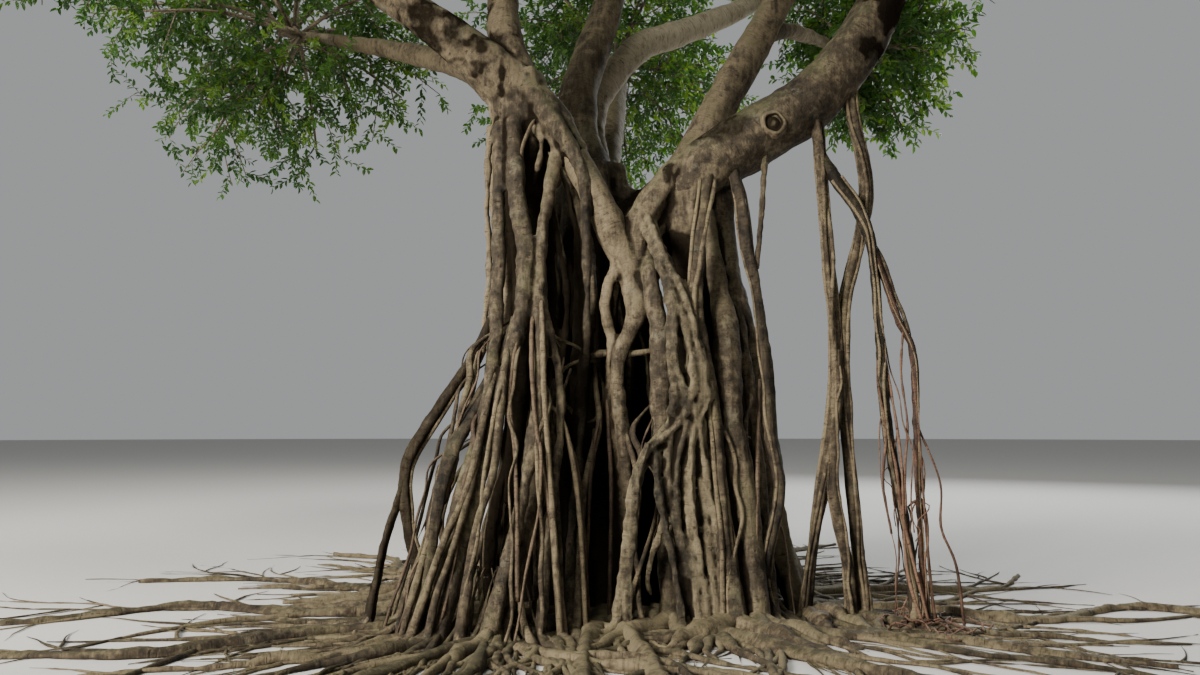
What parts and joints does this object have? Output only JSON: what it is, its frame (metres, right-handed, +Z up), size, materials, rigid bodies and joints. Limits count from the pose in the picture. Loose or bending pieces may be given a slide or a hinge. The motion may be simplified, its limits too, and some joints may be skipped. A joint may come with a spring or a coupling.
{
  "type": "banyan tree",
  "caption": "Spreading fig tree on a wide base of grown-together aerial roots, with free roots under its boughs, roots that run over the ground and a domed evergreen crown.",
  "frame": {"origin": "on the flat cut under the trunk, at ground level, where the ground mount is", "axes": "+Z up, -Y the front that the picture shows, +X to the right of that front"},
  "size_m": [16.7479, 16.0888, 12.771],
  "materials": {
    "bark": "matt, grey-brown, finely ringed bark with warty patches",
    "pale_bark": "matt, pale grey-buff bark",
    "root_bark": "matt, red-brown to grey-brown, smoother than the trunk's",
    "foliage": "slightly glossy dark green leaves, fresher green at the ends of the sprays"
  },
  "bodies": {
    "root": {"trunk": "bark", "left_root_column": "bark", "right_root_column": "bark", "cross_limb": "bark", "right_bough": "bark", "left_stem": "bark", "left_bough": "bark", "second_right_bough": "bark", "dark_bough": "bark", "pale_bough": "pale_bark", "rear_bough": "bark", "left_rear_bough": "bark", "front_left_bough": "bark", "front_bough": "bark", "front_right_bough": "bark", "top_bough": "bark", "top_front_bough": "bark", "low_right_bough": "pale_bark", "surface_root_1": "root_bark", "surface_root_2": "root_bark", "surface_root_3": "root_bark", "surface_root_4": "root_bark", "surface_root_5": "root_bark", "surface_root_6": "root_bark", "surface_root_7": "root_bark", "surface_root_8": "root_bark", "surface_root_9": "root_bark", "surface_root_10": "root_bark", "surface_root_11": "root_bark", "surface_root_12": "root_bark", "surface_root_13": "root_bark", "surface_root_14": "root_bark", "hanging_root_inner": "root_bark", "hanging_root_middle": "root_bark", "hanging_root_outer": "root_bark", "hanging_root_branch": "root_bark", "hanging_root_far": "root_bark", "bough_root_front": "root_bark", "bough_root_side": "root_bark", "bough_root_thin": "root_bark", "left_prop_root": "root_bark", "left_prop_fork": "root_bark", "front_prop_root_a": "root_bark", "front_prop_root_b": "root_bark", "knotted_root": "root_bark", "foliage_left": "foliage", "foliage_left_rear": "foliage", "foliage_rear": "foliage", "foliage_right_rear": "foliage", "foliage_low_right": "foliage", "foliage_right": "foliage", "foliage_front_right": "foliage", "foliage_front": "foliage", "foliage_front_left": "foliage", "foliage_top_left": "foliage", "foliage_top_right": "foliage", "foliage_top_rear": "foliage", "foliage_top_front": "foliage", "foliage_summit": "foliage"}
  },
  "joints": []
}
